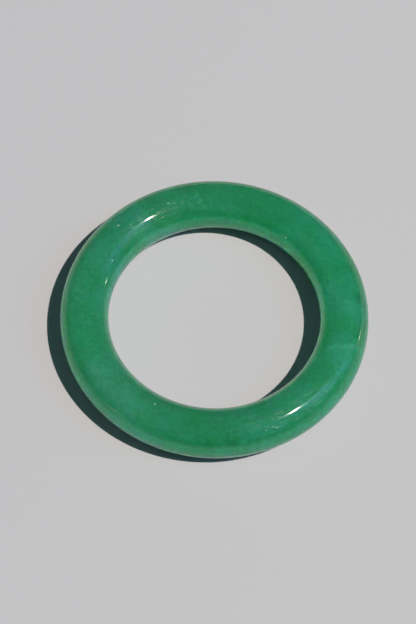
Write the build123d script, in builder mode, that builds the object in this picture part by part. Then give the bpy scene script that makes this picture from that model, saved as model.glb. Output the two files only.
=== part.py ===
from build123d import *
import os

# Bangle bracelet of polished green stone, in millimetres.
# It is one seamless ring, cut and polished from a single block, with a round
# bead all the way round. It has no hinge, clasp or joint: it slips over the hand.
# The origin is the middle of the ring on the plane it rests on, and +Z is the
# ring's axis.

# Driving dimensions
inner_diameter = 58.0  # across the opening at its narrowest, the size a bangle is sold by
bead_diameter = 13.3  # thickness of the round bead

# Worked out from them
bead_radius = bead_diameter / 2
ring_radius = inner_diameter / 2 + bead_radius  # ring's axis to the middle of the bead


os.makedirs("parts", exist_ok=True)

# Bangle ring: the bead's round section, standing on the resting plane, turned
# once about the ring's axis.
with BuildPart() as bangle_ring:
    with BuildSketch(Plane.XZ) as bead_section:
        with Locations((ring_radius, bead_radius)):
            Circle(bead_radius)
    revolve(axis=Axis.Z)

bangle_ring.part.label = "bangle_ring"
export_step(bangle_ring.part, "parts/bangle_ring.step")
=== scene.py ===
import math

import bmesh
import bpy
from mathutils import Matrix, Vector, noise


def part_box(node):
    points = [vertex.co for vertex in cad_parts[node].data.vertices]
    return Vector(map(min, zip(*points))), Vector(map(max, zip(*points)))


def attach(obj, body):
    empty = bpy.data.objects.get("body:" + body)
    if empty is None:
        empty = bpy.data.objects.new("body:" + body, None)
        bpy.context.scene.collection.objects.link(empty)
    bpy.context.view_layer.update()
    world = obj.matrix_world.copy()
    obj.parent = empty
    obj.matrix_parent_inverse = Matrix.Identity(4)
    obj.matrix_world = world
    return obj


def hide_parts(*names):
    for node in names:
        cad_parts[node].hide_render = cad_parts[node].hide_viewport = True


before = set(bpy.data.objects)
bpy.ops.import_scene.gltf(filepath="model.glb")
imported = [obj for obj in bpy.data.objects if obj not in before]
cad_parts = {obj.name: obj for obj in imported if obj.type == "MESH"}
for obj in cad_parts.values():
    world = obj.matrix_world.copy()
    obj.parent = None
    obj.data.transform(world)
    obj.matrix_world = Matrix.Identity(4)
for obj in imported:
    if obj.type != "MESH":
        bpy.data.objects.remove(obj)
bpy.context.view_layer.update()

# Lengths are in metres, and angles in degrees unless a function says radians

# Sizes of the ring, worked out from the CAD ring's box
low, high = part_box("bangle_ring")
bead_radius = (high.z - low.z) / 2
ring_radius = (high.x - low.x) / 2 - bead_radius
ring_centre = (low + high) / 2

# Mesh of the ring
steps_round_ring = 384
steps_round_bead = 96
polish_depth = 0.00003  # how deep the hand polish leaves its long, soft waves
polish_wave = 0.011  # the size of one such wave

# Colours of the stone
deep_green = (0.048, 0.240, 0.135)
main_green = (0.056, 0.262, 0.163)
milky_green = (0.070, 0.282, 0.193)
pale_vein = (0.110, 0.350, 0.240)
pale_speck = (0.650, 0.900, 0.800)

# Clouds: their size, and the stretches of their noise over which one green turns into the next
cloud_size = 0.009
cloud_detail = 4.0
cloud_swirl = 0.6
deep_to_main = (0.36, 0.52)
main_to_milky = (0.50, 0.72)

# Marks in the stone: degrees round the ring, degrees across the bead from its outer side, and size
veil_marks = ((103, 99, 0.0040), (97, 112, 0.0035), (125, 80, 0.0025))
milky_marks = ((0.4, 81, 0.0035), (-24, 62, 0.0045), (-78, 39, 0.0015))
dark_marks = ((5, 55, 0.0035),)
speck_marks = ((139, 85, 0.0004), (155, 129, 0.0003), (-116, 104, 0.0003), (50, 147, 0.0003))
full_share = 0.2  # a mark is at full strength within this share of its size, and fades to nothing at its size
milky_strength = 0.8
speck_strength = 0.9
dark_change = (0.80, 0.80, 0.80)

# How the edges of the larger marks wander, so that none looks drawn
wander_size = 0.0025
wander_detail = 3.0
wander_reach = 0.0022

# Pale veils: wisps that show within their marks, and faintly where a broad haze lies
veil_size = 0.0022
veil_detail = 4.0
veil_swirl = 0.8
veil_edge = (0.47, 0.66)
veil_strength = 0.75
haze_size = 0.014
haze_edge = (0.55, 0.70)
haze_strength = 0.35

# Healed seam: a thin pale line across the stone, with a milky shelf along one side
seam_mark = (-18.8, 76, 0.0085)
seam_heading = 7.5  # degrees off +X, seen from above
seam_width = 0.0009  # from the middle of the line to where it fades out
seam_strength = 0.55
shelf_width = 0.0035
shelf_lip = 0.0003
shelf_strength = 0.50

# Broad parts of the ring whose colour is changed: each one's mark, and its change of red, green
# and blue
broad_parts = (
    ((45, 75, 0.055), (0.72, 0.84, 0.85)),
    ((85, 95, 0.024), (0.92, 0.96, 0.83)),
    ((-128, 105, 0.022), (1.10, 0.90, 0.94)),
    ((-118, 32, 0.010), (1.16, 1.12, 1.12)),
    ((-92, 52, 0.018), (0.80, 0.86, 0.80)),
    ((121, 170, 0.008), (1.32, 1.10, 0.99)),
    ((137, 170, 0.008), (1.32, 1.10, 0.99)),
)

# Painted shade and light down the bead, standing in for how light falls: a painted darker shoulder, a painted
# glow on the flank and painted shade on the underside near the floor. Each gives where it starts, where it is
# full, in bead radii above the floor, and the change of red, green and blue
painted_shoulder_shade = (1.88, 1.62, (0.66, 0.94, 0.84))
painted_flank_glow = (1.56, 1.40, (1.00, 1.31, 1.27))
painted_underside_shade = (0.85, 0.25, (1.60, 0.68, 0.95))

# Painted light round the bore, which is painted lighter as if it caught light from the rest of the ring, in
# bead radii inwards from the middle of the bead
painted_bore_light = (0.45, 0.75, (1.45, 1.18, 1.26))

# Painted light and shade across the ring: painted shade on the side that faces this azimuth, where the key
# light falls, and painted light on the side that faces away
painted_light_azimuth = 17
painted_lit_side_shade = (0.76, 0.82, 0.76)
painted_far_side_glow = (1.38, 1.22, 1.20)

# Mottling: a fine grain that darkens the stone and lightens it
mottle_size = 0.0011
mottle_detail = 3.0
mottle_edge = (0.30, 0.70)
mottle_shade = 0.91
mottle_light = 1.09

# Flakes just under the polish: the draws at which one starts to show and shows in full, and its looks
flake_size = 0.00017
flake_draws = (0.50, 0.95)
flake_paleness = 0.10
slant_across_bead = 0.7
slant_along_ring = 0.20
glitter_strength = 0.36
glitter_roughness = 0.22
glitter_ior = 1.50

# Polish, with faint scuffs, and duller round the outside, in bead radii outwards from the middle of the bead
polish_roughness = 0.066
scuff_size = 0.004
scuff_detail = 3.0
scuff_edge = (0.45, 0.75)
scuff_dulling = 0.012
worn_from = 0.55
worn_to = 0.78
worn_dulling = 0.12

# How strongly the stone bends light, and how light spreads inside it
stone_ior = 1.47
spread_scale = 0.13
spread_colour = (0.25, 1.0, 0.45)
spread_forward = 0.9

# Floor
floor_size = 12.0
floor_colour = (0.723, 0.681, 0.677)
floor_roughness = 0.9
floor_shine = 0.1

# Lights that face the ring: name, azimuth, elevation, distance, width, height, power and colour. The key
# gives the hard shadow and the two bright glints, and the cards give the short streaks
card_white = (1.0, 0.98, 0.95)
softboxes = (
    ("key", -19.5, 61.8, 5.0, 0.11, 0.11, 198.0, (1.0, 0.97, 0.93)),
    ("inner_card", 15.2, 5.2, 1.0, 0.065, 0.026, 0.24, card_white),
    ("right_card", 22.5, 5.2, 1.0, 0.010, 0.024, 0.016, card_white),
    ("left_card", -147, 4.5, 1.0, 0.025, 0.025, 0.09, card_white),
)

# Sky: its colour at each height, from the horizon to overhead
sky_colours = (
    (0.00, (0.020, 0.025, 0.025)),
    (0.25, (0.025, 0.035, 0.045)),
    (0.45, (0.026, 0.055, 0.063)),
    (1.00, (0.020, 0.052, 0.060)),
)

# Glows in the sky: azimuth, elevation, degrees out from the middle where it starts to fade and where it is
# gone, and colour
glows = (
    (-13, 57, 1, 12, (0.70, 1.22, 1.80)),
    (-10, 46, 2, 18, (0.25, 0.50, 0.98)),
    (-3, 36, 3, 20, (0.16, 0.34, 0.76)),
    (178, 56, 3, 14, (0.25, 0.28, 0.28)),
)

# Camera, as a long lens that looks down on the ring from the front, with lens and sensor in millimetres
camera_azimuth = -90
camera_elevation = 61.62
camera_roll = 1.57
camera_distance = 0.4635
camera_lens = 97.4
camera_sensor = 36.0
camera_nearest = 0.01
aim_left = 0.00176
aim_up = 0.00073

# Which sockets of a Mix node blend colours, as its sockets for other kinds of value have the same names
mix_factor = 0
mix_first = 6
mix_second = 7
mix_result = 2


def direction(azimuth, elevation):
    """Unit vector towards an azimuth, counted from +X towards +Y, and an elevation, in degrees."""
    turn = math.radians(azimuth)
    rise = math.radians(elevation)
    return Vector((math.cos(turn) * math.cos(rise), math.sin(turn) * math.cos(rise), math.sin(rise)))


def point_on_ring(around, across, radius):
    """Point of the bead, by radians round the ring and radians across the bead, in the ring's own frame."""
    reach = ring_radius + radius * math.cos(across)
    return Vector((
        reach * math.cos(around),
        reach * math.sin(around),
        radius * math.sin(across),
    ))


def place_of_mark(around, across):
    """Place on the stone's surface, from degrees round the ring and degrees across the bead."""
    return ring_centre + point_on_ring(math.radians(around), math.radians(across), bead_radius)


def polished_radius(around, across):
    """Bead radius at a place given in radians, a hair under the CAD size where hand polish has worn it."""
    place = point_on_ring(around, across, bead_radius) / polish_wave
    wear = 0.5 + 0.5 * noise.noise(place)  # from 0 to 1
    return bead_radius - polish_depth * wear


def make_bangle_ring():
    """Ring of quads, as loops round the bead that follow one another round the ring."""
    mesh = bpy.data.meshes.new("stone_bangle")
    bm = bmesh.new()
    loops = []
    for i in range(steps_round_ring):
        around = 2 * math.pi * i / steps_round_ring
        loop = []
        for j in range(steps_round_bead):
            across = 2 * math.pi * j / steps_round_bead
            place = point_on_ring(around, across, polished_radius(around, across))
            loop.append(bm.verts.new(ring_centre + place))
        loops.append(loop)
    for i in range(steps_round_ring):
        here = loops[i]
        ahead = loops[(i + 1) % steps_round_ring]
        for j in range(steps_round_bead):
            k = (j + 1) % steps_round_bead
            bm.faces.new((here[j], ahead[j], ahead[k], here[k]))
    bm.normal_update()
    bm.to_mesh(mesh)
    bm.free()
    mesh.polygons.foreach_set("use_smooth", [True] * len(mesh.polygons))
    ring = bpy.data.objects.new("stone_bangle", mesh)
    bpy.context.scene.collection.objects.link(ring)
    return ring


def feed(tree, socket, value):
    """Give a socket a value, which is a number, a vector or another node's output."""
    if isinstance(value, bpy.types.NodeSocket):
        tree.links.new(value, socket)
    else:
        socket.default_value = value


def feed_colour(tree, socket, colour):
    """Give a socket a colour, which is three numbers or another node's output."""
    feed(tree, socket, colour if isinstance(colour, bpy.types.NodeSocket) else (*colour, 1))


def calculate(tree, operation, first, second=0.0):
    """Result of a sum on one or two numbers, each of them a value or another node's output."""
    node = tree.nodes.new("ShaderNodeMath")
    node.operation = operation
    feed(tree, node.inputs[0], first)
    feed(tree, node.inputs[1], second)
    return node.outputs["Value"]


def calculate_vector(tree, operation, first, second):
    """Result of a sum on two vectors or colours, each of them a value or another node's output."""
    node = tree.nodes.new("ShaderNodeVectorMath")
    node.operation = operation
    feed(tree, node.inputs[0], first)
    feed(tree, node.inputs[1], second)
    return node.outputs["Value" if operation in ("DISTANCE", "DOT_PRODUCT") else "Vector"]


def scale_vector(tree, vector, scale):
    """A vector or colour, multiplied by a number."""
    node = tree.nodes.new("ShaderNodeVectorMath")
    node.operation = "SCALE"
    feed(tree, node.inputs["Vector"], vector)
    feed(tree, node.inputs["Scale"], scale)
    return node.outputs["Vector"]


def ease(tree, value, start, end):
    """Soft step from 0 at start to 1 at end, either way round."""
    node = tree.nodes.new("ShaderNodeMapRange")
    node.interpolation_type = "SMOOTHSTEP"
    feed(tree, node.inputs["Value"], value)
    node.inputs["From Min"].default_value = start
    node.inputs["From Max"].default_value = end
    return node.outputs["Result"]


def make_noise(tree, place, size, detail, swirl):
    """Noise node whose blotches are about as large as size."""
    node = tree.nodes.new("ShaderNodeTexNoise")
    feed(tree, node.inputs["Vector"], place)
    node.inputs["Scale"].default_value = 1 / size
    node.inputs["Detail"].default_value = detail
    node.inputs["Distortion"].default_value = swirl
    return node


def speckle(tree, place, size, detail=2.0, swirl=0.0):
    """Smooth noise, from 0 to 1 around 0.5, whose blotches are about as large as size."""
    return make_noise(tree, place, size, detail, swirl).outputs["Fac"]


def blend_colours(tree, factor, first, second, way="MIX"):
    """Blend the first colour into the second by a factor from 0 to 1, or add that much of the second."""
    node = tree.nodes.new("ShaderNodeMix")
    node.data_type = "RGBA"
    node.blend_type = way
    feed(tree, node.inputs[mix_factor], factor)
    feed_colour(tree, node.inputs[mix_first], first)
    feed_colour(tree, node.inputs[mix_second], second)
    return node.outputs[mix_result]


def tint(tree, colour, mask, change):
    """Change a colour's red, green and blue by factors, as far as the mask says."""
    return blend_colours(tree, mask, colour, calculate_vector(tree, "MULTIPLY", colour, change))


def patches(tree, place, marks):
    """Mask of soft round patches, 1 in the middle of each mark and 0 past its size."""
    total = 0.0
    for around, across, size in marks:
        distance = calculate_vector(tree, "DISTANCE", place, place_of_mark(around, across))
        total = calculate(tree, "MAXIMUM", ease(tree, distance, size, size * full_share), total)
    return total


def wandering_place(tree, place):
    """Place on the stone, pushed about a little by noise."""
    push = make_noise(tree, place, wander_size, wander_detail, 0.0).outputs["Color"]
    swing = calculate_vector(tree, "SUBTRACT", push, (0.5, 0.5, 0.5))
    return calculate_vector(tree, "ADD", place, scale_vector(tree, swing, wander_reach))


def pale_veils(tree, place, wander):
    """Mask of wisps, strong within the veils' marks and faint elsewhere."""
    wisps = ease(tree, speckle(tree, place, veil_size, veil_detail, veil_swirl), *veil_edge)
    haze = ease(tree, speckle(tree, place, haze_size), *haze_edge)
    faint = calculate(tree, "MULTIPLY", haze, haze_strength)
    where = calculate(tree, "MAXIMUM", patches(tree, wander, veil_marks), faint)
    return calculate(tree, "MULTIPLY", wisps, where)


def healed_seam(tree, place):
    """Masks of the pale line where an old crack across the stone has healed, and of its milky shelf."""
    heading = math.radians(seam_heading)
    side = Vector((-math.sin(heading), math.cos(heading), 0))
    middle = place_of_mark(seam_mark[0], seam_mark[1])
    offset = calculate_vector(tree, "SUBTRACT", place, middle)
    off_line = calculate_vector(tree, "DOT_PRODUCT", offset, side)
    line = ease(tree, calculate(tree, "ABSOLUTE", off_line), seam_width, seam_width * full_share)
    far_edge = ease(tree, off_line, -shelf_width, -shelf_lip)
    near_edge = ease(tree, off_line, 0.0, -shelf_lip)
    shelf = calculate(tree, "MULTIPLY", far_edge, near_edge)
    near = patches(tree, place, (seam_mark,))
    line = calculate(tree, "MULTIPLY", line, near)
    shelf = calculate(tree, "MULTIPLY", shelf, near)
    return line, shelf


def cloudy_greens(tree, place):
    """Clouds of colour, which drift between a deeper, yellower green and a milkier, bluer one."""
    clouds = speckle(tree, place, cloud_size, cloud_detail, cloud_swirl)
    colour = blend_colours(tree, ease(tree, clouds, *deep_to_main), deep_green, main_green)
    return blend_colours(tree, ease(tree, clouds, *main_to_milky), colour, milky_green)


def add_marks(tree, colour, place):
    """Add the dark and milky patches, the broad parts of changed colour, the veils and the healed seam."""
    wander = wandering_place(tree, place)
    colour = tint(tree, colour, patches(tree, wander, dark_marks), dark_change)
    for mark, change in broad_parts:
        colour = tint(tree, colour, patches(tree, place, (mark,)), change)
    milky = calculate(tree, "MULTIPLY", patches(tree, wander, milky_marks), milky_strength)
    colour = blend_colours(tree, milky, colour, milky_green)
    veils = calculate(tree, "MULTIPLY", pale_veils(tree, place, wander), veil_strength)
    colour = blend_colours(tree, veils, colour, pale_vein)
    line, shelf = healed_seam(tree, wander)
    colour = blend_colours(tree, calculate(tree, "MULTIPLY", shelf, shelf_strength), colour, milky_green)
    return blend_colours(tree, calculate(tree, "MULTIPLY", line, seam_strength), colour, pale_vein)


def add_painted_light(tree, colour, place, reach, outward):
    """Add painted light and shade: tones that stand in for how light passes through the stone."""
    # Painted shade and light down the bead: a painted darker shoulder where it turns down, a painted glow on
    # the flank where light would come up through the stone, and painted shade on the underside near the floor
    height = tree.nodes.new("ShaderNodeSeparateXYZ")
    tree.links.new(place, height.inputs["Vector"])
    for start, full, change in (painted_shoulder_shade, painted_flank_glow, painted_underside_shade):
        mask = ease(tree, height.outputs["Z"], low.z + start * bead_radius, low.z + full * bead_radius)
        colour = tint(tree, colour, mask, change)

    # Painted light: the bore is painted lighter, standing in for light it catches from the rest of the ring
    start, full, change = painted_bore_light
    mask = ease(tree, reach, ring_radius - start * bead_radius, ring_radius - full * bead_radius)
    colour = tint(tree, colour, mask, change)

    # Painted light and shade: the side facing away from the light is painted clearer and lighter, standing in
    # for light that crosses the stone, and the lit side is painted darker
    facing = calculate_vector(tree, "DOT_PRODUCT", outward, direction(painted_light_azimuth, 0))
    far_side_glow = calculate_vector(tree, "MULTIPLY", colour, painted_far_side_glow)
    lit_side_shade = calculate_vector(tree, "MULTIPLY", colour, painted_lit_side_shade)
    return blend_colours(tree, ease(tree, facing, -1.0, 1.0), far_side_glow, lit_side_shade)


def add_grain(tree, colour, place, flakes):
    """Add the fine mottling, the pale flakes and the few pale specks."""
    mottle = ease(tree, speckle(tree, place, mottle_size, mottle_detail), *mottle_edge)
    shaded = scale_vector(tree, colour, mottle_shade)
    lightened = scale_vector(tree, colour, mottle_light)
    colour = blend_colours(tree, mottle, shaded, lightened)
    colour = blend_colours(tree, calculate(tree, "MULTIPLY", flakes, flake_paleness), colour, pale_vein)
    specks = calculate(tree, "MULTIPLY", patches(tree, place, speck_marks), speck_strength)
    return blend_colours(tree, specks, colour, pale_speck)


def draw_flakes(tree, place):
    """Three draws for each flake, from 0 to 1: two for its slant, and one that says if it shows."""
    cells = tree.nodes.new("ShaderNodeTexVoronoi")
    cells.inputs["Scale"].default_value = 1 / flake_size
    tree.links.new(place, cells.inputs["Vector"])
    draws = tree.nodes.new("ShaderNodeSeparateColor")
    tree.links.new(cells.outputs["Color"], draws.inputs["Color"])
    return draws.outputs["Red"], draws.outputs["Green"], draws.outputs["Blue"]


def slanted_normal(tree, place, outward, across_draw, along_draw):
    """The way a flake faces: outwards, but tipped across the bead and along the ring by its draws."""
    along = calculate_vector(tree, "CROSS_PRODUCT", (0, 0, 1 / ring_radius), place)
    across = calculate_vector(tree, "CROSS_PRODUCT", outward, along)
    slants = ((across, across_draw, slant_across_bead), (along, along_draw, slant_along_ring))
    normal = outward
    for way, draw, slant in slants:
        tip = calculate(tree, "MULTIPLY", calculate(tree, "SUBTRACT", draw, 0.5), slant)
        normal = calculate_vector(tree, "ADD", normal, scale_vector(tree, way, tip))
    unit = tree.nodes.new("ShaderNodeVectorMath")
    unit.operation = "NORMALIZE"
    tree.links.new(normal, unit.inputs["Vector"])
    return unit.outputs["Vector"]


def worn_polish(tree, place, reach):
    """Roughness, nearly even, but with faint scuffs and a duller outside, where the ring rubs in wear."""
    scuffs = ease(tree, speckle(tree, place, scuff_size, scuff_detail), *scuff_edge)
    worn = ease(tree, reach, ring_radius + worn_from * bead_radius, ring_radius + worn_to * bead_radius)
    scuffed = calculate(tree, "MULTIPLY", scuffs, scuff_dulling)
    rubbed = calculate(tree, "MULTIPLY", worn, worn_dulling)
    return calculate(tree, "ADD", calculate(tree, "ADD", scuffed, rubbed), polish_roughness)


def make_green_stone():
    """Polished green stone, with painted light and shade in its colour. Light spreads just beneath its
    surface, and tiny flakes glitter under the polish.
    """
    material = bpy.data.materials.new("green_stone")
    material.use_nodes = True
    tree = material.node_tree
    shader = tree.nodes["Principled BSDF"]
    place = tree.nodes.new("ShaderNodeTexCoord").outputs["Object"]
    outward = tree.nodes.new("ShaderNodeNewGeometry").outputs["Normal"]
    level_place = calculate_vector(tree, "MULTIPLY", place, (1, 1, 0))
    reach = calculate_vector(tree, "DISTANCE", level_place, (0, 0, 0))  # from the ring's axis
    across_draw, along_draw, show_draw = draw_flakes(tree, place)
    flakes = ease(tree, show_draw, *flake_draws)

    colour = cloudy_greens(tree, place)
    colour = add_marks(tree, colour, place)
    colour = add_painted_light(tree, colour, place, reach, outward)
    colour = add_grain(tree, colour, place, flakes)
    tree.links.new(colour, shader.inputs["Base Color"])
    tree.links.new(worn_polish(tree, place, reach), shader.inputs["Roughness"])
    shader.inputs["IOR"].default_value = stone_ior

    # Flakes lie at slightly different slants under the polish, so some of them glitter
    slanted = slanted_normal(tree, place, outward, across_draw, along_draw)
    tree.links.new(slanted, shader.inputs["Coat Normal"])
    tree.links.new(calculate(tree, "MULTIPLY", flakes, glitter_strength), shader.inputs["Coat Weight"])
    shader.inputs["Coat Roughness"].default_value = glitter_roughness
    shader.inputs["Coat IOR"].default_value = glitter_ior

    shader.inputs["Subsurface Weight"].default_value = 1.0
    shader.inputs["Subsurface Radius"].default_value = spread_colour
    shader.inputs["Subsurface Scale"].default_value = spread_scale
    shader.inputs["Subsurface Anisotropy"].default_value = spread_forward
    return material


def make_floor():
    """Plain pale floor, at the height on which the ring stands."""
    bpy.ops.mesh.primitive_plane_add(size=floor_size, location=(0, 0, low.z))
    floor = bpy.context.object
    floor.name = "floor"
    material = bpy.data.materials.new("pale_floor")
    material.use_nodes = True
    shader = material.node_tree.nodes["Principled BSDF"]
    shader.inputs["Base Color"].default_value = (*floor_colour, 1)
    shader.inputs["Roughness"].default_value = floor_roughness
    shader.inputs["Specular IOR Level"].default_value = floor_shine
    floor.data.materials.append(material)


def make_softbox(name, azimuth, elevation, distance, width, height, power, colour):
    """Round or oval light that faces the ring's centre."""
    data = bpy.data.lights.new(name, "AREA")
    data.shape = "ELLIPSE"
    data.size = width
    data.size_y = height
    data.energy = power
    data.color = colour
    lamp = bpy.data.objects.new(name, data)
    bpy.context.scene.collection.objects.link(lamp)
    towards = direction(azimuth, elevation)
    lamp.location = ring_centre + towards * distance
    lamp.rotation_euler = towards.to_track_quat("Z", "Y").to_euler()


def add_glow(tree, sky, place, azimuth, elevation, inner, outer, colour):
    """Add a soft round glow to the sky, full within inner degrees and gone at outer degrees."""
    facing = calculate_vector(tree, "DOT_PRODUCT", place, direction(azimuth, elevation))
    strength = ease(tree, facing, math.cos(math.radians(outer)), math.cos(math.radians(inner)))
    return blend_colours(tree, strength, sky, colour, "ADD")


def make_surroundings():
    """World light: a dim blue sky that darkens towards the horizon, with a few soft glows."""
    world = bpy.data.worlds.new("surroundings")
    bpy.context.scene.world = world
    world.use_nodes = True
    tree = world.node_tree
    place = tree.nodes.new("ShaderNodeTexCoord").outputs["Generated"]
    split = tree.nodes.new("ShaderNodeSeparateXYZ")
    ramp = tree.nodes.new("ShaderNodeValToRGB")
    tree.links.new(place, split.inputs["Vector"])
    tree.links.new(split.outputs["Z"], ramp.inputs["Fac"])
    stops = ramp.color_ramp.elements
    for height, _ in sky_colours[1:-1]:
        stops.new(height)
    for stop, (height, colour) in zip(stops, sky_colours):
        stop.position = height
        stop.color = (*colour, 1)
    sky = ramp.outputs["Color"]
    for glow in glows:
        sky = add_glow(tree, sky, place, *glow)
    tree.links.new(sky, tree.nodes["Background"].inputs["Color"])


def make_camera():
    """Camera that looks down on the ring, rolled a little and aimed a little beside its centre."""
    data = bpy.data.cameras.new("camera")
    data.lens = camera_lens
    data.sensor_width = camera_sensor
    data.clip_start = camera_nearest
    camera = bpy.data.objects.new("camera", data)
    bpy.context.scene.collection.objects.link(camera)
    bpy.context.scene.camera = camera
    towards = direction(camera_azimuth, camera_elevation)
    roll = math.radians(camera_roll)
    level = Vector((1, 0, 0))
    rise = level.cross(-towards)
    right = level * math.cos(roll) + rise * math.sin(roll)
    up = rise * math.cos(roll) - level * math.sin(roll)
    place = ring_centre + towards * camera_distance
    aim = ring_centre - right * aim_left + up * aim_up
    back = (place - aim).normalized()
    right = up.cross(back).normalized()
    up = back.cross(right)
    turn = Matrix((right, up, back)).transposed().to_4x4()
    camera.matrix_world = Matrix.Translation(place) @ turn


make_camera()
make_floor()
make_surroundings()
for softbox in softboxes:
    make_softbox(*softbox)

bangle = make_bangle_ring()
bangle.data.materials.append(make_green_stone())
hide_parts("bangle_ring")
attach(bangle, "root")

bpy.context.scene.view_settings.view_transform = "Standard"
